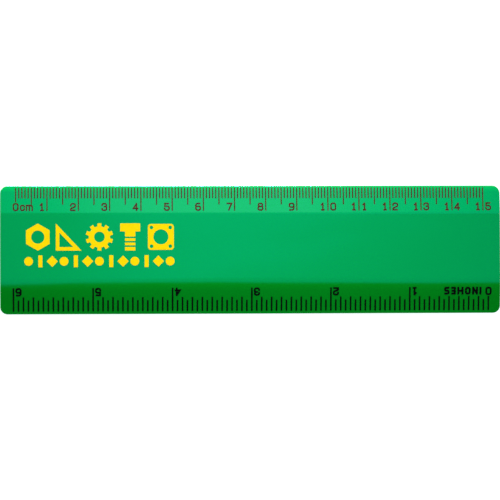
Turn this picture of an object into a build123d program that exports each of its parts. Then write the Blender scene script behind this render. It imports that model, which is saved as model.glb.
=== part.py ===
from build123d import *
import os
from math import atan2, cos, sin

# A 15 centimetre / 6 inch desk ruler: one green plastic moulding with a bevel along each long
# edge, a centimetre scale printed on one bevel, an inch scale printed upside down on the other,
# and a yellow emblem printed on the flat between them.
#
# X runs along the ruler, from the centimetre zero to the 15. Y runs across it, towards the
# centimetre edge. Z points up, out of the printed face. The origin is the middle of the underside.
# All sizes are in millimetres.

# The moulding
LENGTH = 160.5
WIDTH = 41.0
THICKNESS = 2.3
METRIC_BEVEL_WIDTH = 8.7
METRIC_EDGE_THICKNESS = 1.1
METRIC_SHOULDER_RADIUS = 8.0
INCH_BEVEL_WIDTH = 9.55
INCH_EDGE_THICKNESS = 0.7
INCH_SHOULDER_RADIUS = 25.0
CORNER_RADIUS = 2.4
RIM_RADIUS = 0.2

# The ink
INK_THICKNESS = 0.04

# The centimetre scale. Gaps, lengths and baselines are measured inwards from the ruler's edge,
# down the slope of the bevel.
CENTIMETRE = 10
CENTIMETRES = 15
METRIC_ZERO_INSET = 5.0
METRIC_EDGE_GAP = 0.55
METRIC_LINE_WIDTH = 0.36
MILLIMETRE_LINE_LENGTH = 3.45
HALF_CENTIMETRE_LINE_LENGTH = 5.5
CENTIMETRE_LINE_LENGTH = 7.5
METRIC_ZERO_LINE_LENGTH = 4.6
METRIC_NUMERAL_WIDTH = 1.9
METRIC_NUMERAL_HEIGHT = 2.6
METRIC_NUMERAL_GAP = 0.75
METRIC_PEN = 0.45
METRIC_BASELINE = 8.08

# The inch scale, cut into sixteenths
INCH = 25.4
INCHES = 6
SIXTEENTHS = 16
INCH_ZERO_INSET = 3.85
INCH_EDGE_GAP = 0.9
INCH_LINE_WIDTH = 0.5
SIXTEENTH_LINE_LENGTH = 3.6
EIGHTH_LINE_LENGTH = 4.6
INCH_LINE_LENGTH = 7.55
INCH_NUMERAL_WIDTH = 2.0
INCH_NUMERAL_HEIGHT = 2.7
INCH_NUMERAL_GAP = 0.6
INCH_PEN = 0.58
INCH_BASELINE = 8.5

# The unit labels: each letter with its width, then how far the label starts from its zero line
CENTIMETRE_LETTERS = (("c", 1.54), ("m", 2.28))
CENTIMETRE_LABEL_START = 1.4
CENTIMETRE_LETTER_HEIGHT = 2.05
CENTIMETRE_LETTER_GAP = 0.3
INCHES_LETTERS = (("I", 0.64), ("N", 1.87), ("C", 1.84), ("H", 2.0), ("E", 1.55), ("S", 1.75))
INCHES_LABEL_START = 2.28
INCHES_LETTER_HEIGHT = 2.5
INCHES_LETTER_GAP = 0.48
INCHES_PEN = 0.64

# The emblem: a row of workshop shapes, and below it a band of small marks
EMBLEM_INSET = 7.7
EMBLEM_DEPTH = 12.0
EMBLEM_LENGTH = 48.0
SHAPE_SIZE = 8.7
SHAPE_LINE = 1.15
BAND_DEPTH = 22.2
BAND_HEIGHT = 3.8
BAND_MARKS = 13
DOT_RADIUS = 1.4
BAR_WIDTH = 1.3
DIAMOND_RADIUS = 1.8

# The slopes of the bevels, and the plane that each scale is laid out on: X along the scale from
# its zero line, Y outwards with the ruler's edge at zero, Z straight up out of the bevel
METRIC_SLOPE = atan2(THICKNESS - METRIC_EDGE_THICKNESS, METRIC_BEVEL_WIDTH)
INCH_SLOPE = atan2(THICKNESS - INCH_EDGE_THICKNESS, INCH_BEVEL_WIDTH)
METRIC_FACE = Plane(
    origin=(METRIC_ZERO_INSET - LENGTH / 2, WIDTH / 2, METRIC_EDGE_THICKNESS),
    x_dir=(1, 0, 0),
    z_dir=(0, sin(METRIC_SLOPE), cos(METRIC_SLOPE)),
)
INCH_FACE = Plane(
    origin=(LENGTH / 2 - INCH_ZERO_INSET, -WIDTH / 2, INCH_EDGE_THICKNESS),
    x_dir=(-1, 0, 0),
    z_dir=(0, -sin(INCH_SLOPE), cos(INCH_SLOPE)),
)

# Every character is drawn as pen strokes in a cell one unit wide and one unit high. A stroke is
# its points and the radius of each corner between them, as a share of the cell's width. The cell
# is that of the pen's middle, so a loose end is drawn on by half the pen's width.
WIDE = 0.4
MIDDLE = 0.34
NARROW = 0.3
TIGHT = 0.21
CHARACTERS = {
    "0": [([(0, 0), (1, 0), (1, 1), (0, 1), (0, 0)], [WIDE] * 4)],
    "1": [
        ([(0.24, 0.78), (0.5, 0.95)], []),
        ([(0.56, 0.1), (0.56, 1)], []),
        ([(0.31, 0), (0.8, 0)], []),
    ],
    "2": [
        (
            [(0, 0.7), (0, 1), (1, 1), (1, 0.54), (0, 0.26), (0, 0), (0.92, 0)],
            [WIDE, WIDE, NARROW, TIGHT, 0],
        )
    ],
    "3": [
        ([(0, 0.74), (0, 1), (0.95, 1), (0.95, 0.54), (0.48, 0.54)], [MIDDLE, MIDDLE, NARROW]),
        ([(0.48, 0.54), (1, 0.54), (1, 0), (0, 0), (0, 0.25)], [NARROW, WIDE, MIDDLE]),
    ],
    "4": [
        ([(0.7, 0), (0.7, 1)], []),
        ([(0.63, 0.92), (0, 0.27), (0.95, 0.27)], [0]),
    ],
    "5": [
        (
            [(0.86, 1), (0.06, 1), (0.06, 0.6), (1, 0.6), (1, 0), (0, 0), (0, 0.28)],
            [0, 0, WIDE, WIDE, WIDE],
        )
    ],
    "6": [
        ([(0, 0), (1, 0), (1, 0.58), (0, 0.58), (0, 0)], [WIDE, WIDE, WIDE, NARROW]),
        ([(0, 0.29), (0, 1), (0.88, 1)], [WIDE]),
    ],
    "7": [([(0.04, 1), (1, 1), (0.4, 0.04)], [0])],
    "8": [
        ([(0, 0), (1, 0), (1, 0.54), (0, 0.54), (0, 0)], [MIDDLE] * 4),
        ([(0.06, 0.54), (0.94, 0.54), (0.94, 1), (0.06, 1), (0.06, 0.54)], [NARROW] * 4),
    ],
    "9": [
        ([(0, 1), (1, 1), (1, 0.42), (0, 0.42), (0, 1)], [WIDE, WIDE, NARROW, WIDE]),
        ([(1, 0.71), (1, 0), (0.12, 0)], [WIDE]),
    ],
    "c": [([(1, 0.7), (1, 1), (0, 1), (0, 0), (1, 0), (1, 0.3)], [WIDE] * 4)],
    "m": [
        ([(0, 0), (0, 1), (0.5, 1), (0.5, 0)], [0, NARROW]),
        ([(0.25, 1), (1, 1), (1, 0)], [NARROW]),
    ],
    "C": [([(1, 0.7), (1, 1), (0, 1), (0, 0), (1, 0), (1, 0.3)], [WIDE] * 4)],
    "E": [([(0.9, 1), (0, 1), (0, 0), (0.9, 0)], [0, 0]), ([(0.1, 0.52), (0.8, 0.52)], [])],
    "H": [([(0, 0), (0, 1)], []), ([(1, 0), (1, 1)], []), ([(0.1, 0.52), (0.9, 0.52)], [])],
    "I": [([(0, 0), (0, 1)], [])],
    "N": [([(0, 0), (0, 1)], []), ([(0.1, 0.9), (0.9, 0.1)], []), ([(1, 0), (1, 1)], [])],
    "S": [
        (
            [(0.94, 1), (0, 1), (0, 0.5), (1, 0.5), (1, 0), (0.06, 0)],
            [MIDDLE] * 4,
        )
    ],
}

os.makedirs("parts", exist_ok=True)


def write(piece, name):
    """Name a finished piece and write its file."""
    piece.part.label = name
    export_step(piece.part, f"parts/{name}.step")


def lettering(text, widths, height, pen):
    """Each character of a text as its own flat sketch, with its lower left corner at zero."""
    sketches = []
    for character, width in zip(text, widths):
        across = width - pen
        up = height - pen
        with BuildSketch() as sketch:
            for points, radii in CHARACTERS[character]:
                corners = [Vector(pen / 2 + x * across, pen / 2 + y * up) for x, y in points]
                if points[0] != points[-1]:
                    corners[0] += (corners[0] - corners[1]).normalized() * pen / 2
                    corners[-1] += (corners[-1] - corners[-2]).normalized() * pen / 2
                with BuildLine():
                    if any(radii):
                        FilletPolyline(*corners, radius=[radius * across for radius in radii])
                    else:
                        Polyline(*corners)
                trace(line_width=pen)
        sketches.append(sketch.sketch)
    return sketches


def printed_text(face, sketches, starts, baseline):
    """A film of ink in the shape of some characters, each starting where it is told."""
    with BuildPart() as ink:
        with BuildSketch(face):
            for sketch, start in zip(sketches, starts):
                with Locations((start, -baseline)):
                    add(sketch)
        extrude(amount=INK_THICKNESS)
    return ink


def printed_lines(face, positions, width, gap, lengths):
    """A film of ink in the shape of scale lines, which run inwards from near the edge."""
    with BuildPart() as ink:
        with BuildSketch(face):
            for length in sorted(set(lengths)):
                starts = [(x, -gap) for x, each in zip(positions, lengths) if each == length]
                with Locations(*starts):
                    Rectangle(width, length, align=(Align.CENTER, Align.MAX))
        extrude(amount=INK_THICKNESS)
    return ink


def on_the_top_rim(edge):
    """Whether an edge is on the outline of the printed face, and not where a bevel meets the flat."""
    above_the_sides = edge.bounding_box().min.Z > 2 * RIM_RADIUS
    past_the_ends = abs(edge.center().X) > LENGTH / 4
    past_the_bevels = abs(edge.center().Y) > WIDTH / 2 - CORNER_RADIUS
    return above_the_sides and (past_the_ends or past_the_bevels)


# The moulding: one section pushed along the ruler, with softened shoulders and a fine rim
with BuildPart() as ruler_body:
    with BuildSketch(Plane.YZ.offset(-LENGTH / 2)):
        with BuildLine():
            Polyline(
                (-WIDTH / 2, 0),
                (WIDTH / 2, 0),
                (WIDTH / 2, METRIC_EDGE_THICKNESS),
                (WIDTH / 2 - METRIC_BEVEL_WIDTH, THICKNESS),
                (INCH_BEVEL_WIDTH - WIDTH / 2, THICKNESS),
                (-WIDTH / 2, INCH_EDGE_THICKNESS),
                close=True,
            )
        make_face()
    extrude(amount=LENGTH)
    fillet(ruler_body.edges().filter_by(Axis.Z), radius=CORNER_RADIUS)
    shoulders = ruler_body.edges().filter_by(Axis.X).group_by(Axis.Z)[-1].sort_by(Axis.Y)
    fillet(shoulders[0], radius=INCH_SHOULDER_RADIUS)
    shoulders = ruler_body.edges().filter_by(Axis.X).group_by(Axis.Z)[-1].sort_by(Axis.Y)
    fillet(shoulders[-1], radius=METRIC_SHOULDER_RADIUS)
    underside = ruler_body.faces().sort_by(Axis.Z)[0]
    fillet(underside.edges(), radius=RIM_RADIUS)
    around_the_top = ruler_body.edges().filter_by(on_the_top_rim)
    fillet(around_the_top, radius=RIM_RADIUS)
write(ruler_body, "ruler_body")

# The centimetre scale: a long line every centimetre, a middling one halfway, a short one at each
# other millimetre. The zero line is cut short, to leave room for its numeral.
centimetre_marks = [CENTIMETRE * count for count in range(CENTIMETRES + 1)]
half_marks = [mark + CENTIMETRE / 2 for mark in centimetre_marks[:-1]]
millimetre_marks = [mark for mark in range(CENTIMETRE * CENTIMETRES) if mark % (CENTIMETRE / 2)]
centimetre_lines = printed_lines(
    METRIC_FACE,
    centimetre_marks,
    METRIC_LINE_WIDTH,
    METRIC_EDGE_GAP,
    [METRIC_ZERO_LINE_LENGTH] + [CENTIMETRE_LINE_LENGTH] * CENTIMETRES,
)
write(centimetre_lines, "centimetre_lines")
half_centimetre_lines = printed_lines(
    METRIC_FACE,
    half_marks,
    METRIC_LINE_WIDTH,
    METRIC_EDGE_GAP,
    [HALF_CENTIMETRE_LINE_LENGTH] * len(half_marks),
)
write(half_centimetre_lines, "half_centimetre_lines")
millimetre_lines = printed_lines(
    METRIC_FACE,
    millimetre_marks,
    METRIC_LINE_WIDTH,
    METRIC_EDGE_GAP,
    [MILLIMETRE_LINE_LENGTH] * len(millimetre_marks),
)
write(millimetre_lines, "millimetre_lines")

# Centimetre numerals: the 0 stands under its line, a single figure to the left of its line, and
# two figures one on each side of it
for mark in centimetre_marks:
    text = str(mark // CENTIMETRE)
    left_of_line = mark - METRIC_NUMERAL_GAP - METRIC_NUMERAL_WIDTH
    right_of_line = mark + METRIC_NUMERAL_GAP
    if mark == 0:
        starts = [-METRIC_NUMERAL_WIDTH / 2]
    else:
        starts = [left_of_line, right_of_line]
    figures = lettering(
        text, [METRIC_NUMERAL_WIDTH] * len(text), METRIC_NUMERAL_HEIGHT, METRIC_PEN
    )
    metric_numeral = printed_text(METRIC_FACE, figures, starts, METRIC_BASELINE)
    write(metric_numeral, f"metric_numeral_{text.zfill(2)}")

# The inch scale: a long line every inch, a middling one every eighth, a short one at each other
# sixteenth. Its zero line is an eighth line.
inch_marks = [INCH * count for count in range(1, INCHES + 1)]
all_marks = [INCH * count / SIXTEENTHS for count in range(INCHES * SIXTEENTHS)]
sixteenth_marks = all_marks[1::2]
eighth_marks = [mark for mark in all_marks[0::2] if mark not in inch_marks]
inch_lines = printed_lines(
    INCH_FACE,
    inch_marks,
    INCH_LINE_WIDTH,
    INCH_EDGE_GAP,
    [INCH_LINE_LENGTH] * len(inch_marks),
)
write(inch_lines, "inch_lines")
eighth_inch_lines = printed_lines(
    INCH_FACE,
    eighth_marks,
    INCH_LINE_WIDTH,
    INCH_EDGE_GAP,
    [EIGHTH_LINE_LENGTH] * len(eighth_marks),
)
write(eighth_inch_lines, "eighth_inch_lines")
sixteenth_inch_lines = printed_lines(
    INCH_FACE,
    sixteenth_marks,
    INCH_LINE_WIDTH,
    INCH_EDGE_GAP,
    [SIXTEENTH_LINE_LENGTH] * len(sixteenth_marks),
)
write(sixteenth_inch_lines, "sixteenth_inch_lines")

# Inch numerals: the 0 stands under its line and the others to the left of theirs, as they are read
for count in range(INCHES + 1):
    if count == 0:
        start = -INCH_NUMERAL_WIDTH / 2
    else:
        start = INCH * count - INCH_NUMERAL_GAP - INCH_NUMERAL_WIDTH
    figures = lettering(str(count), [INCH_NUMERAL_WIDTH], INCH_NUMERAL_HEIGHT, INCH_PEN)
    inch_numeral = printed_text(INCH_FACE, figures, [start], INCH_BASELINE)
    write(inch_numeral, f"inch_numeral_{count}")


def label(face, letters, start, gap, height, pen, baseline):
    """A film of ink in the shape of a unit's name, which starts just after the 0."""
    widths = [width for letter, width in letters]
    starts = [start + sum(widths[:count]) + gap * count for count in range(len(widths))]
    sketches = lettering([letter for letter, width in letters], widths, height, pen)
    return printed_text(face, sketches, starts, baseline)


centimetre_label = label(
    METRIC_FACE,
    CENTIMETRE_LETTERS,
    CENTIMETRE_LABEL_START,
    CENTIMETRE_LETTER_GAP,
    CENTIMETRE_LETTER_HEIGHT,
    METRIC_PEN,
    METRIC_BASELINE,
)
write(centimetre_label, "centimetre_label")
inches_label = label(
    INCH_FACE,
    INCHES_LETTERS,
    INCHES_LABEL_START,
    INCHES_LETTER_GAP,
    INCHES_LETTER_HEIGHT,
    INCHES_PEN,
    INCH_BASELINE,
)
write(inches_label, "inches_label")

# The emblem's shapes stand side by side in square cells, spread over its whole length
SHAPES = 5
SHAPE_PITCH = (EMBLEM_LENGTH - SHAPE_SIZE) / (SHAPES - 1)
SHAPE_RADIUS = SHAPE_SIZE / 2


def shape_face(place):
    """The plane of one emblem shape, centred on its cell: 0 is nearest the ruler's zero end."""
    return Plane(
        origin=(
            EMBLEM_INSET - LENGTH / 2 + SHAPE_RADIUS + SHAPE_PITCH * place,
            WIDTH / 2 - EMBLEM_DEPTH - SHAPE_RADIUS,
            THICKNESS,
        )
    )


# A hexagon nut, standing on a corner
NUT_BORE_RADIUS = 2.1
with BuildPart() as emblem_nut:
    with BuildSketch(shape_face(0)):
        RegularPolygon(SHAPE_RADIUS, side_count=6, rotation=30)
        Circle(NUT_BORE_RADIUS, mode=Mode.SUBTRACT)
    extrude(amount=INK_THICKNESS)
write(emblem_nut, "emblem_nut")

# A set square, with the window that such a square has
SET_SQUARE_BASE = 8.2
with BuildPart() as emblem_set_square:
    with BuildSketch(shape_face(1)):
        with BuildLine():
            Polyline(
                (-SET_SQUARE_BASE / 2, -SHAPE_RADIUS),
                (SET_SQUARE_BASE / 2, -SHAPE_RADIUS),
                (-SET_SQUARE_BASE / 2, SHAPE_RADIUS),
                close=True,
            )
        make_face()
        offset(amount=-SHAPE_LINE, kind=Kind.INTERSECTION, mode=Mode.SUBTRACT)
    extrude(amount=INK_THICKNESS)
write(emblem_set_square, "emblem_set_square")

# A cog wheel
COG_TEETH = 10
COG_ROOT_RADIUS = 3.4
COG_BORE_RADIUS = 1.7
COG_TOOTH_WIDTH = 1.25
with BuildPart() as emblem_cog:
    with BuildSketch(shape_face(2)):
        Circle(COG_ROOT_RADIUS)
        with PolarLocations(SHAPE_RADIUS, COG_TEETH, start_angle=90):
            Rectangle(
                2 * (SHAPE_RADIUS - COG_ROOT_RADIUS),
                COG_TOOTH_WIDTH,
                align=(Align.MAX, Align.CENTER),
            )
        Circle(COG_BORE_RADIUS, mode=Mode.SUBTRACT)
    extrude(amount=INK_THICKNESS)
write(emblem_cog, "emblem_cog")

# A hexagon-head bolt seen from the side, with gaps across its shank for the thread
BOLT_HEAD_WIDTH = 6.4
BOLT_HEAD_HEIGHT = 2.6
BOLT_SHANK_WIDTH = 3.3
BOLT_THREAD_GAP = 0.55
BOLT_THREADS = 3
BOLT_THREAD_PITCH = 1.4
with BuildPart() as emblem_bolt:
    with BuildSketch(shape_face(3)):
        with Locations((0, SHAPE_RADIUS)):
            Rectangle(BOLT_HEAD_WIDTH, BOLT_HEAD_HEIGHT, align=(Align.CENTER, Align.MAX))
        with Locations((0, -SHAPE_RADIUS)):
            Rectangle(
                BOLT_SHANK_WIDTH,
                SHAPE_SIZE - BOLT_HEAD_HEIGHT,
                align=(Align.CENTER, Align.MIN),
            )
        for thread in range(BOLT_THREADS):
            with Locations((0, BOLT_THREAD_PITCH * (thread + 1) - SHAPE_RADIUS)):
                Rectangle(BOLT_SHANK_WIDTH, BOLT_THREAD_GAP, mode=Mode.SUBTRACT)
    extrude(amount=INK_THICKNESS)
write(emblem_bolt, "emblem_bolt")

# A square plate, drilled at its middle and its corners
PLATE_SIZE = 8.3
PLATE_CORNER_RADIUS = 1.0
PLATE_BORE_RADIUS = 2.4
PLATE_HOLE_RADIUS = 0.6
PLATE_HOLE_SPACING = 6.0
with BuildPart() as emblem_plate:
    with BuildSketch(shape_face(4)):
        RectangleRounded(PLATE_SIZE, PLATE_SIZE, PLATE_CORNER_RADIUS)
        Circle(PLATE_BORE_RADIUS, mode=Mode.SUBTRACT)
        with GridLocations(PLATE_HOLE_SPACING, PLATE_HOLE_SPACING, 2, 2):
            Circle(PLATE_HOLE_RADIUS, mode=Mode.SUBTRACT)
    extrude(amount=INK_THICKNESS)
write(emblem_plate, "emblem_plate")

# The band below: a dot, a bar and a diamond, over and over, from a dot to a dot
BAND_PITCH = (EMBLEM_LENGTH - 2 * DOT_RADIUS) / (BAND_MARKS - 1)
BAND_FACE = Plane(
    origin=(
        EMBLEM_INSET - LENGTH / 2 + DOT_RADIUS,
        WIDTH / 2 - BAND_DEPTH - BAND_HEIGHT / 2,
        THICKNESS,
    )
)
band_places = [(BAND_PITCH * count, 0) for count in range(BAND_MARKS)]
with BuildPart() as emblem_dots:
    with BuildSketch(BAND_FACE):
        with Locations(*band_places[0::3]):
            Circle(DOT_RADIUS)
    extrude(amount=INK_THICKNESS)
write(emblem_dots, "emblem_dots")
with BuildPart() as emblem_bars:
    with BuildSketch(BAND_FACE):
        with Locations(*band_places[1::3]):
            Rectangle(BAR_WIDTH, BAND_HEIGHT)
    extrude(amount=INK_THICKNESS)
write(emblem_bars, "emblem_bars")
with BuildPart() as emblem_diamonds:
    with BuildSketch(BAND_FACE):
        with Locations(*band_places[2::3]):
            RegularPolygon(DIAMOND_RADIUS, side_count=4)
    extrude(amount=INK_THICKNESS)
write(emblem_diamonds, "emblem_diamonds")
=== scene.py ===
import math

import bpy
from mathutils import Matrix, Vector


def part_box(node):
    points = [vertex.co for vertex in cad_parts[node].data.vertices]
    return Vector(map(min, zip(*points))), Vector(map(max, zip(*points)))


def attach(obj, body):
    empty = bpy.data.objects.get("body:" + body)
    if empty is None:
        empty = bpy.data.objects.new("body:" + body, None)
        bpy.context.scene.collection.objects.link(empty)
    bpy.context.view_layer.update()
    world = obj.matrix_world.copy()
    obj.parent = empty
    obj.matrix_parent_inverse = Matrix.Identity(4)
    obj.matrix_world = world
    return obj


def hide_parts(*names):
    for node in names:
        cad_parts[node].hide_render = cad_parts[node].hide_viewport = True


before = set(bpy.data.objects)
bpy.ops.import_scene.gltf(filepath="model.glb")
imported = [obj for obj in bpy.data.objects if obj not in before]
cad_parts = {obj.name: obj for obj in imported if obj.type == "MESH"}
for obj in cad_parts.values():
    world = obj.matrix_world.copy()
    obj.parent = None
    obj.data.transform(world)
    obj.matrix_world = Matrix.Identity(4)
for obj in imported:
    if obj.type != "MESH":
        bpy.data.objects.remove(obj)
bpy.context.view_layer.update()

# ---------------------------------------------------------------------------------------------
# The camera: a long lens looking down on the ruler from almost straight above, so that its scales
# can be read. It stands a little to the left of the middle and on the inch side of it.
# ---------------------------------------------------------------------------------------------
LENS_DISTANCE = 1.000
LENS_LENGTH_MM = 224.23
FILM_WIDTH_MM = 36.0
LENS_YAW = math.radians(-2.996)
LENS_PITCH = math.radians(1.763)
LENS_ROLL = math.radians(-0.231)
LENS_AIM = Vector((-0.000251, -0.000056, 0.0))

lens = bpy.data.cameras.new("overhead_lens")
lens.type = "PERSP"
lens.sensor_width = FILM_WIDTH_MM
lens.lens = LENS_LENGTH_MM
lens.clip_start = 0.01
lens.clip_end = 20.0
camera = bpy.data.objects.new("overhead_camera", lens)
bpy.context.scene.collection.objects.link(camera)
turn = Matrix.Rotation(LENS_YAW, 4, "Y") @ Matrix.Rotation(LENS_PITCH, 4, "X")
turn = turn @ Matrix.Rotation(LENS_ROLL, 4, "Z")
camera.matrix_world = Matrix.Translation(LENS_AIM) @ turn @ Matrix.Translation((0, 0, LENS_DISTANCE))
bpy.context.scene.camera = camera

# ---------------------------------------------------------------------------------------------
# The moulded rule: one injection moulding in bright green polystyrene, coloured right through. Its
# two long bevels meet the flat in soft shoulders, and its whole outline has a fine polished rim.
# ---------------------------------------------------------------------------------------------
METRIC_BEVEL_WIDTH = 0.0087
METRIC_EDGE_THICKNESS = 0.0011
METRIC_SHOULDER_RADIUS = 0.008
INCH_BEVEL_WIDTH = 0.00955
INCH_EDGE_THICKNESS = 0.0007
INCH_SHOULDER_RADIUS = 0.025
CORNER_RADIUS = 0.0024
RIM_RADIUS = 0.0002
CORNER_STEPS = 14
SHOULDER_STEPS = 10
RIM_STEPS = 6
COLUMNS = 80

rule_low, rule_high = (Vector(corner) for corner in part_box("ruler_body"))
HALF_LENGTH = (rule_high.x - rule_low.x) / 2
HALF_WIDTH = (rule_high.y - rule_low.y) / 2
THICKNESS = rule_high.z


class Bevel:
    """One long bevel and the shoulder that rolls it into the flat, measured outwards from the middle."""

    def __init__(self, width, edge_thickness, shoulder_radius):
        self.radius = shoulder_radius
        self.shoulder = HALF_WIDTH - width
        self.slope = math.atan2(THICKNESS - edge_thickness, width)
        tangent = shoulder_radius * math.tan(self.slope / 2)
        self.roll_start = self.shoulder - tangent
        self.roll_end = self.shoulder + tangent * math.cos(self.slope)

    def surface(self, out):
        """Height of the printed face and how steeply it falls, at a distance out from the middle."""
        if out <= self.roll_start:
            return THICKNESS, 0.0
        if out < self.roll_end:
            turn = math.asin((out - self.roll_start) / self.radius)
            return THICKNESS - self.radius * (1 - math.cos(turn)), turn
        return THICKNESS - (out - self.shoulder) * math.tan(self.slope), self.slope

    def rows(self):
        """Where the printed face needs rows of points, from the flat out to the rim."""
        roll = [self.roll_start + self.radius * math.sin(self.slope * step / SHOULDER_STEPS)
                for step in range(SHOULDER_STEPS + 1)]
        arc_middle = HALF_WIDTH - CORNER_RADIUS
        inner = CORNER_RADIUS - RIM_RADIUS
        arc = [arc_middle + inner * math.sin(math.pi / 2 * step / CORNER_STEPS)
               for step in range(CORNER_STEPS + 1)]
        return roll + arc


metric_bevel = Bevel(METRIC_BEVEL_WIDTH, METRIC_EDGE_THICKNESS, METRIC_SHOULDER_RADIUS)
inch_bevel = Bevel(INCH_BEVEL_WIDTH, INCH_EDGE_THICKNESS, INCH_SHOULDER_RADIUS)


def printed_face(y):
    """Height and signed fall across the ruler of the printed face."""
    if y > 0:
        return metric_bevel.surface(y)
    height, fall = inch_bevel.surface(-y)
    return height, -fall


def half_length_at(y):
    """Half the length of the printed face inside its rim, which the round corners shorten."""
    past = abs(y) - (HALF_WIDTH - CORNER_RADIUS)
    if past <= 0:
        return HALF_LENGTH - RIM_RADIUS
    inner = CORNER_RADIUS - RIM_RADIUS
    return HALF_LENGTH - CORNER_RADIUS + math.sqrt(max(inner * inner - past * past, 0.0))


def outward(x, y):
    """The direction out of the ruler's outline, seen from above, at a point of that outline."""
    across = abs(x) - (HALF_LENGTH - CORNER_RADIUS)
    along = abs(y) - (HALF_WIDTH - CORNER_RADIUS)
    way = Vector((math.copysign(max(across, 0.0), x), math.copysign(max(along, 0.0), y)))
    return way.normalized()


def mould_rule():
    """The whole moulding as one closed mesh, with exact normals so that its faces stay true."""
    rows = [-out for out in reversed(inch_bevel.rows())] + [0.0] + metric_bevel.rows()
    spots = [math.sin(math.pi / 2 * (2 * column / COLUMNS - 1)) for column in range(COLUMNS + 1)]
    points, normals, faces = [], [], []

    def grid(height_and_fall, up):
        first = len(points)
        for y in rows:
            height, fall = height_and_fall(y)
            for spot in spots:
                points.append((spot * half_length_at(y), y, height))
                normals.append((0.0, math.sin(fall), math.cos(fall)) if up else (0.0, 0.0, -1.0))
        wide = len(spots)
        for row in range(len(rows) - 1):
            for column in range(COLUMNS):
                start = first + row * wide + column
                quad = (start, start + 1, start + 1 + wide, start + wide)
                faces.append(quad if up else quad[::-1])
        last = len(rows) - 1
        loop = [first + column for column in range(COLUMNS)]
        loop += [first + row * wide + COLUMNS for row in range(last)]
        loop += [first + last * wide + column for column in range(COLUMNS, 0, -1)]
        loop += [first + row * wide for row in range(last, 0, -1)]
        return loop

    face_loop = grid(printed_face, up=True)
    underside_loop = grid(lambda y: (0.0, 0.0), up=False)
    rings = [face_loop]
    for step in range(1, RIM_STEPS + 1):
        ring = []
        for corner in face_loop:
            x, y, height = points[corner]
            out = outward(x, y)
            fall = math.atan(math.tan(abs(printed_face(y)[1])) * abs(out.y))
            radius = RIM_RADIUS / (1 - math.sin(fall))
            turn = fall + (math.pi / 2 - fall) * step / RIM_STEPS
            reach = radius * (math.sin(turn) - math.sin(fall))
            drop = radius * (math.cos(fall) - math.cos(turn))
            ring.append(len(points))
            points.append((x + out.x * reach, y + out.y * reach, height - drop))
            normals.append((out.x * math.sin(turn), out.y * math.sin(turn), math.cos(turn)))
        rings.append(ring)
    for step in range(RIM_STEPS):
        turn = math.pi / 2 * step / RIM_STEPS
        ring = []
        for corner in underside_loop:
            x, y, height = points[corner]
            out = outward(x, y)
            reach = RIM_RADIUS * math.cos(turn)
            ring.append(len(points))
            points.append((x + out.x * reach, y + out.y * reach, RIM_RADIUS * (1 - math.sin(turn))))
            normals.append((out.x * math.cos(turn), out.y * math.cos(turn), -math.sin(turn)))
        rings.append(ring)
    rings.append(underside_loop)
    for upper, lower in zip(rings, rings[1:]):
        for here in range(len(upper)):
            there = (here + 1) % len(upper)
            faces.append((upper[there], upper[here], lower[here], lower[there]))
    mesh = bpy.data.meshes.new("moulded_rule")
    mesh.from_pydata(points, [], faces)
    mesh.shade_smooth()
    mesh.normals_split_custom_set_from_vertices(normals)
    return mesh


rule = bpy.data.objects.new("moulded_rule", mould_rule())
bpy.context.scene.collection.objects.link(rule)
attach(rule, "root")
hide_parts("ruler_body")


class Signal:
    """One output of a node. Sums written with signals and numbers add the Math nodes for them."""

    def __init__(self, recipe, socket):
        self.recipe = recipe
        self.socket = socket

    def sum(self, operation, first, second):
        return self.recipe.node("ShaderNodeMath", {"operation": operation}, {0: first, 1: second})

    def __add__(self, other):
        return self.sum("ADD", self, other)

    __radd__ = __add__

    def __mul__(self, other):
        return self.sum("MULTIPLY", self, other)

    __rmul__ = __mul__

    def __sub__(self, other):
        return self.sum("SUBTRACT", self, other)

    def __rsub__(self, other):
        return self.sum("SUBTRACT", other, self)


class Recipe:
    """The nodes of one material, lamp or sky."""

    def __init__(self, owner):
        owner.use_nodes = True
        self.tree = owner.node_tree
        self.tree.nodes.clear()

    def node(self, kind, settings=None, inputs=None, output=0):
        """A node of any kind: its settings first, then its sockets, as numbers or as signals."""
        made = self.tree.nodes.new(kind)
        for name, value in (settings or {}).items():
            if name == "stops":
                self.set_stops(made.color_ramp, value)
            else:
                setattr(made, name, value)
        for name, value in (inputs or {}).items():
            if isinstance(value, Signal):
                self.tree.links.new(value.socket, made.inputs[name])
            else:
                made.inputs[name].default_value = value
        return Signal(self, made.outputs[output]) if made.outputs else made

    def set_stops(self, ramp, stops):
        for place, (position, level) in enumerate(stops):
            stop = ramp.elements[place] if place < 2 else ramp.elements.new(position)
            stop.position = position
            stop.color = (level, level, level, 1.0)

    def blend_colours(self, share, first, second):
        return self.node("ShaderNodeMix", {"data_type": "RGBA"}, {0: share, 6: first, 7: second}, 2)


# Polystyrene: saturated green, nearly no red in it even in its gloss. Its colour is darkened with painted
# shade towards the two ends and along the inch bevel, drifts slightly along the flow of the moulding,
# and has a painted highlight right at the centimetre edge, with painted shade on that edge's narrow upright
# side.
# Its polish has faint waves, and fine rubs from use.
PLASTIC_GREEN = (0.0005, 0.244, 0.0104, 1.0)
# painted shade for the ends and the inch bevel, also the deeper tone of the moulding's flow
PLASTIC_SHADE_AND_FLOW_GREEN = (0.0003, 0.196, 0.0064, 1.0)
# painted highlight along the centimetre edge
PLASTIC_HIGHLIGHT_GREEN = (0.0005, 0.318, 0.0104, 1.0)
# painted shade on the upright side that faces the key
PLASTIC_SIDE_SHADE_GREEN = (0.0003, 0.125, 0.0064, 1.0)
PLASTIC_GLOSS_TINT = (0.07, 1.0, 1.0, 1.0)
PLASTIC_REFRACTION = 1.59
POLISH_ROUGHNESS = 0.07
HAZE_ROUGHNESS = 0.05
RUB_ROUGHNESS = 0.08
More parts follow.
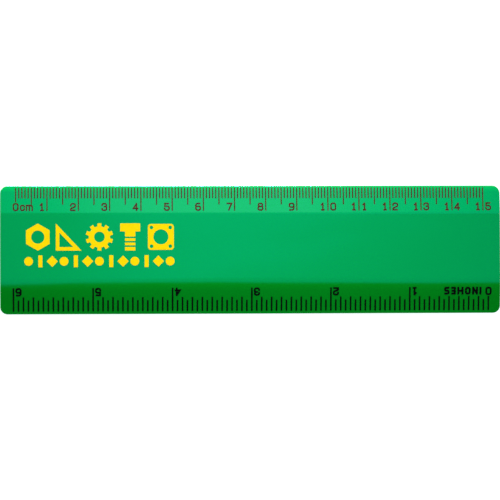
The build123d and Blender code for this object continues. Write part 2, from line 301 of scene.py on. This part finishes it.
# painted shade: the two ends darkened in the colour
PAINTED_SHADE_AT_ENDS = 0.5
PAINTED_SHADE_ON_INCH_BEVEL = 0.5
DEEP_ALONG_FLOW = 0.12
# where the painted shade along the inch bevel begins and where it is full
INCH_SHADE_START = -0.010
INCH_SHADE_FULL = -0.016
# where the painted highlight along the centimetre edge begins and where it is full
EDGE_HIGHLIGHT_START = 0.0186
EDGE_HIGHLIGHT_FULL = 0.0199
# how far a face turns towards the key where the painted side shade begins and where it is full
SIDE_SHADE_START = 0.5
SIDE_SHADE_FULL = 0.9
FLOW_SCALE = (12.0, 40.0, 40.0)
RUB_SCALE = (70.0, 5200.0, 900.0)
RUB_TURN = (0.0, 0.0, 0.12)
RUB_STOPS = ((0.62, 0.0), (0.74, 1.0))
RUB_DEPTH = 0.004
HAZE_SCALE = 90.0
WAVE_SCALE = (30.0, 70.0, 70.0)
WAVE_DEPTH = 0.00006

plastic = bpy.data.materials.new("green_polystyrene")
recipe = Recipe(plastic)
place = recipe.node("ShaderNodeTexCoord", output="Object")
along = recipe.node("ShaderNodeSeparateXYZ", inputs={"Vector": place}, output="X")
across = recipe.node("ShaderNodeSeparateXYZ", inputs={"Vector": place}, output="Y")
# painted shade that darkens the two ends
end_shade_share = along * along * (PAINTED_SHADE_AT_ENDS / HALF_LENGTH ** 2)
# painted shade along the inch bevel
inch_shade_share = recipe.node(
    "ShaderNodeMapRange",
    inputs={
        "Value": across,
        "From Min": INCH_SHADE_START,
        "From Max": INCH_SHADE_FULL,
        "To Max": PAINTED_SHADE_ON_INCH_BEVEL,
    },
)
# painted highlight that lightens the centimetre edge
edge_highlight_share = recipe.node(
    "ShaderNodeMapRange",
    inputs={
        "Value": across,
        "From Min": EDGE_HIGHLIGHT_START,
        "From Max": EDGE_HIGHLIGHT_FULL,
    },
)
facing = recipe.node("ShaderNodeTexCoord", output="Normal")
# painted shade that darkens the upright sides facing the key
side_shade_share = recipe.node(
    "ShaderNodeMapRange",
    inputs={
        "Value": recipe.node("ShaderNodeSeparateXYZ", inputs={"Vector": facing}, output="Y"),
        "From Min": SIDE_SHADE_START,
        "From Max": SIDE_SHADE_FULL,
    },
)
flow_place = recipe.node("ShaderNodeMapping", inputs={"Vector": place, "Scale": FLOW_SCALE})
flow = recipe.node("ShaderNodeTexNoise", inputs={"Vector": flow_place, "Scale": 1.0, "Detail": 3.0})
# painted shade at the ends and on the inch bevel, plus the moulding's own flow tone
shade_and_flow_share = end_shade_share + inch_shade_share + DEEP_ALONG_FLOW * flow
green = recipe.blend_colours(shade_and_flow_share, PLASTIC_GREEN, PLASTIC_SHADE_AND_FLOW_GREEN)
green_with_edge_highlight = recipe.blend_colours(edge_highlight_share, green, PLASTIC_HIGHLIGHT_GREEN)
rub_place = recipe.node(
    "ShaderNodeMapping", inputs={"Vector": place, "Rotation": RUB_TURN, "Scale": RUB_SCALE}
)
rubs = recipe.node("ShaderNodeTexNoise", inputs={"Vector": rub_place, "Scale": 1.0, "Detail": 2.0})
rub_share = recipe.node("ShaderNodeValToRGB", {"stops": RUB_STOPS}, {"Fac": rubs})
haze = recipe.node("ShaderNodeTexNoise", inputs={"Vector": place, "Scale": HAZE_SCALE, "Detail": 4.0})
waves_place = recipe.node("ShaderNodeMapping", inputs={"Vector": place, "Scale": WAVE_SCALE})
waves = recipe.node("ShaderNodeTexNoise", inputs={"Vector": waves_place, "Scale": 1.0, "Detail": 1.0})
relief = waves - rub_share * RUB_DEPTH
skin = recipe.node("ShaderNodeBump", inputs={"Strength": 1.0, "Distance": WAVE_DEPTH, "Height": relief})
shader = recipe.node(
    "ShaderNodeBsdfPrincipled",
    inputs={
        "Base Color": recipe.blend_colours(side_shade_share, green_with_edge_highlight, PLASTIC_SIDE_SHADE_GREEN),
        "Roughness": POLISH_ROUGHNESS + haze * HAZE_ROUGHNESS + rub_share * RUB_ROUGHNESS,
        "IOR": PLASTIC_REFRACTION,
        "Specular Tint": PLASTIC_GLOSS_TINT,
        "Normal": skin,
    },
)
recipe.node("ShaderNodeOutputMaterial", inputs={"Surface": shader})
rule.data.materials.append(plastic)

# ---------------------------------------------------------------------------------------------
# The two scales: satin ink, pad-printed on the bevels in one pass each, dark brown for the
# centimetres and black for the inches. Each line and numeral is its own thin film of ink.
# ---------------------------------------------------------------------------------------------
BROWN_INK = ((0.072, 0.018, 0.010, 1.0), (0.050, 0.012, 0.006, 1.0))
BLACK_INK = ((0.0012, 0.0016, 0.0012, 1.0), (0.0008, 0.0009, 0.0008, 1.0))
COVER_SCALE = 1400.0
COVER_STOPS = ((0.35, 0.0), (0.6, 1.0))
COVER_ROUGHNESS = 0.12
TOOTH_SCALE = 9000.0
TOOTH_DEPTH = 0.000004


def printing_ink(name, colours, gloss, roughness, tint):
    """Opaque printing ink, with the cloudy cover and the slight tooth that a pad leaves."""
    thin, thick = colours
    ink = bpy.data.materials.new(name)
    recipe = Recipe(ink)
    place = recipe.node("ShaderNodeTexCoord", output="Object")
    cover = recipe.node("ShaderNodeTexNoise", inputs={"Vector": place, "Scale": COVER_SCALE, "Detail": 4.0})
    cover_share = recipe.node("ShaderNodeValToRGB", {"stops": COVER_STOPS}, {"Fac": cover})
    tooth = recipe.node("ShaderNodeTexNoise", inputs={"Vector": place, "Scale": TOOTH_SCALE, "Detail": 2.0})
    skin = recipe.node(
        "ShaderNodeBump", inputs={"Strength": 0.5, "Distance": TOOTH_DEPTH, "Height": tooth}
    )
    shader = recipe.node(
        "ShaderNodeBsdfPrincipled",
        inputs={
            "Base Color": recipe.blend_colours(cover_share, thin, thick),
            "Roughness": roughness + COVER_ROUGHNESS * cover,
            "Specular IOR Level": gloss,
            "Specular Tint": tint,
            "Normal": skin,
        },
    )
    recipe.node("ShaderNodeOutputMaterial", inputs={"Surface": shader})
    return ink


def print_nodes(prefixes, ink):
    """Lays an ink on every printed node of the ruler whose name begins with one of these words."""
    for name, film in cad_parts.items():
        if name.startswith(prefixes):
            film.data.materials.clear()
            film.data.materials.append(ink)


PLAIN_TINT = (1.0, 1.0, 1.0, 1.0)
print_nodes(
    ("centimetre", "half_centimetre", "millimetre", "metric_numeral"),
    printing_ink("brown_scale_ink", BROWN_INK, gloss=0.07, roughness=0.45, tint=PLAIN_TINT),
)
print_nodes(
    ("inch", "eighth_inch", "sixteenth_inch"),
    printing_ink("black_scale_ink", BLACK_INK, gloss=0.05, roughness=0.4, tint=PLAIN_TINT),
)

# ---------------------------------------------------------------------------------------------
# The emblem: a row of workshop shapes and a band of small marks in bright yellow ink, laid on
# thickly enough to hide the green. It takes the place of a firm's name.
# ---------------------------------------------------------------------------------------------
YELLOW_INK = ((0.92, 0.53, 0.001, 1.0), (0.96, 0.57, 0.002, 1.0))
YELLOW_GLOSS_TINT = (1.0, 0.9, 0.05, 1.0)
print_nodes(
    ("emblem",),
    printing_ink("yellow_emblem_ink", YELLOW_INK, gloss=0.15, roughness=0.45, tint=YELLOW_GLOSS_TINT),
)

# ---------------------------------------------------------------------------------------------
# The table: a plain white light table, wide enough to fill every view. It glows a little itself,
# so the thin ruler throws only a faint shadow.
# ---------------------------------------------------------------------------------------------
TABLE_REACH = 6.0
TABLE_DROP = 0.00002
TABLE_WHITE = (0.50, 0.50, 0.50, 1.0)
TABLE_GLOW = 0.80

table_mesh = bpy.data.meshes.new("light_table")
table_corners = [(-1, -1), (1, -1), (1, 1), (-1, 1)]
table_mesh.from_pydata(
    [(x * TABLE_REACH, y * TABLE_REACH, -TABLE_DROP) for x, y in table_corners], [], [(0, 1, 2, 3)]
)
table = bpy.data.objects.new("light_table", table_mesh)
bpy.context.scene.collection.objects.link(table)
table_paper = bpy.data.materials.new("white_table")
recipe = Recipe(table_paper)
paper = recipe.node(
    "ShaderNodeBsdfPrincipled",
    inputs={
        "Base Color": TABLE_WHITE,
        "Roughness": 0.9,
        "Specular IOR Level": 0.0,
        "Emission Color": (1.0, 1.0, 1.0, 1.0),
        "Emission Strength": TABLE_GLOW,
    },
)
recipe.node("ShaderNodeOutputMaterial", inputs={"Surface": paper})
table_mesh.materials.append(table_paper)

# ---------------------------------------------------------------------------------------------
# The key: a low spot beyond the centimetre edge, which rakes over the bevels, so that one is
# lighter than the flat and the other darker. Its edge is feathered, which dims the ruler's ends.
# ---------------------------------------------------------------------------------------------
KEY_AIM = Vector((-0.012, 0.0, 0.0))
KEY_ELEVATION = math.radians(12.0)
KEY_DISTANCE = 0.8
KEY_BEAM = math.radians(28.0)
KEY_RADIUS = 0.10
KEY_POWER = 71.0

key_lamp = bpy.data.lights.new("raking_key", "SPOT")
key_lamp.spot_size = KEY_BEAM
key_lamp.spot_blend = 1.0
key_lamp.shadow_soft_size = KEY_RADIUS
key_lamp.energy = KEY_POWER
key = bpy.data.objects.new("raking_key", key_lamp)
bpy.context.scene.collection.objects.link(key)
key_way = Vector((0.0, math.cos(KEY_ELEVATION), math.sin(KEY_ELEVATION)))
key.location = KEY_AIM + key_way * KEY_DISTANCE
key.rotation_euler = (-key_way).to_track_quat("-Z", "Y").to_euler()
key.visible_camera = False

# ---------------------------------------------------------------------------------------------
# Two soft sheets hung above the camera, which the polish mirrors: the near one lights up the flat,
# in a broad patch that slants across its middle, and the far one lights up the centimetre bevel.
# ---------------------------------------------------------------------------------------------
SHEET_HEIGHT = 1.2
SHEET_LEFT = -0.45
SHEET_RIGHT = 0.50
SHEET_BACK = -0.28
SHEET_JOIN = 0.27
SHEET_FRONT = 0.61
PATTERN_LEFT = -0.155
PATTERN_RIGHT = 0.295
PATTERN_BACK = -0.23
PATTERN_FRONT = 0.27


def hang_sheet(name, near, far):
    """A flat sheet overhead that spans from one distance across the table to another."""
    corners = [(SHEET_LEFT, near), (SHEET_LEFT, far), (SHEET_RIGHT, far), (SHEET_RIGHT, near)]
    mesh = bpy.data.meshes.new(name)
    mesh.from_pydata([(x, y, SHEET_HEIGHT) for x, y in corners], [], [(0, 1, 2, 3)])
    sheet = bpy.data.objects.new(name, mesh)
    bpy.context.scene.collection.objects.link(sheet)
    glow = bpy.data.materials.new(name)
    mesh.materials.append(glow)
    return glow


def share_along(recipe, axis, low, high):
    """How far along a sheet a point of it is, as a share of the way from one place to another."""
    place = recipe.node("ShaderNodeTexCoord", output="Object")
    across = recipe.node("ShaderNodeSeparateXYZ", inputs={"Vector": place}, output=axis)
    return recipe.node("ShaderNodeMapRange", inputs={"Value": across, "From Min": low, "From Max": high})


def smooth_step(recipe, share, low, high):
    """A soft change from 0 to 1, while a share goes from low to high."""
    settings = {"interpolation_type": "SMOOTHSTEP"}
    return recipe.node("ShaderNodeMapRange", settings, {"Value": share, "From Min": low, "From Max": high})


def straight_step(recipe, share, low, high, first, last):
    """An even change from the first value to the last, while a share goes from low to high."""
    inputs = {"Value": share, "From Min": low, "From Max": high, "To Min": first, "To Max": last}
    return recipe.node("ShaderNodeMapRange", inputs=inputs)


def profile(recipe, side, places):
    """A level that follows a list of places along a sheet, each with its value."""
    reach = PATTERN_RIGHT - PATTERN_LEFT
    stops = tuple(((place - PATTERN_LEFT) / reach, value) for place, value in places)
    return recipe.node("ShaderNodeValToRGB", {"stops": stops}, {"Fac": side})


def light_up(recipe, strength, red, level):
    """Makes a sheet glow: a level for all of its light, and how much of its red is left."""
    colour = recipe.node("ShaderNodeCombineColor", inputs={"Red": red * level, "Green": level, "Blue": level})
    glow = recipe.node("ShaderNodeEmission", inputs={"Color": colour, "Strength": strength})
    recipe.node("ShaderNodeOutputMaterial", inputs={"Surface": glow})


NEAR_STRENGTH = 1.53
NEAR_RED = 0.1
HEM_FEATHER = 0.09
BASE_FADE = (0.6, 0.9)
BASE_LEVELS = (1.0, 0.93)
PATCH_RISE = (0.16, 0.33)
PATCH_FALL = (-0.38, -0.58)
PATCH_SLANT = 1.96
PATCH_DEPTHS = (0.48, 0.56)
PATCH_LEVELS = (0.33, 0.57)
HEM_PLACES = (
    (-0.115, 0.02),
    (-0.065, 0.14),
    (-0.035, 0.20),
    (0.025, 0.20),
    (0.075, 0.15),
    (0.125, 0.12),
    (0.235, 0.11),
)
recipe = Recipe(hang_sheet("near_sheet", SHEET_BACK, SHEET_JOIN))
side = share_along(recipe, "X", PATTERN_LEFT, PATTERN_RIGHT)
depth = share_along(recipe, "Y", PATTERN_BACK, PATTERN_FRONT)
past_hem = depth - profile(recipe, side, HEM_PLACES)
feather = smooth_step(recipe, past_hem, -HEM_FEATHER, HEM_FEATHER)
base = straight_step(recipe, side, *BASE_FADE, *BASE_LEVELS)
rise = smooth_step(recipe, side, *PATCH_RISE)
fall = smooth_step(recipe, side - PATCH_SLANT * depth, *PATCH_FALL)
patch = straight_step(recipe, depth, *PATCH_DEPTHS, *PATCH_LEVELS)
light_up(recipe, NEAR_STRENGTH, NEAR_RED, (base + rise * fall * patch) * feather)

FAR_STRENGTH = 3.4
FAR_LEVEL_PLACES = (
    (-0.125, 0.60),
    (-0.105, 0.74),
    (-0.075, 0.76),
    (-0.045, 0.89),
    (-0.025, 0.985),
    (0.11, 0.985),
    (0.135, 0.85),
    (0.168, 0.84),
    (0.195, 0.735),
    (0.221, 0.73),
    (0.235, 0.62),
)
FAR_RED_PLACES = (
    (-0.079, 0.05),
    (-0.045, 0.6),
    (-0.025, 1.0),
    (0.115, 1.0),
    (0.135, 0.4),
    (0.182, 0.25),
    (0.195, 0.03),
)
recipe = Recipe(hang_sheet("far_sheet", SHEET_JOIN, SHEET_FRONT))
side = share_along(recipe, "X", PATTERN_LEFT, PATTERN_RIGHT)
far_red = profile(recipe, side, FAR_RED_PLACES)
light_up(recipe, FAR_STRENGTH, far_red, profile(recipe, side, FAR_LEVEL_PLACES))

# ---------------------------------------------------------------------------------------------
# The room: pale low down, where walls would be, and dark overhead, where the ruler mirrors it. It
# is also dimmer towards the ruler's two ends.
# ---------------------------------------------------------------------------------------------
ROOM_STRENGTH = 1.75
ROOM_STOPS = ((0.0, 1.0), (0.3, 1.0), (0.88, 0.02))
END_DIMMING = 0.5

room = bpy.data.worlds.new("pale_room")
bpy.context.scene.world = room
recipe = Recipe(room)
direction = recipe.node("ShaderNodeTexCoord", output="Generated")
height = recipe.node("ShaderNodeSeparateXYZ", inputs={"Vector": direction}, output="Z")
along = recipe.node("ShaderNodeSeparateXYZ", inputs={"Vector": direction}, output="X")
dimming = recipe.node("ShaderNodeValToRGB", {"stops": ROOM_STOPS}, {"Fac": height})
level = dimming * (1.0 - END_DIMMING * along * along)
pale = recipe.node("ShaderNodeCombineColor", inputs={"Red": level, "Green": level, "Blue": level})
sky = recipe.node("ShaderNodeBackground", inputs={"Color": pale, "Strength": ROOM_STRENGTH})
recipe.node("ShaderNodeOutputWorld", inputs={"Surface": sky})

bpy.context.scene.view_settings.view_transform = "Standard"
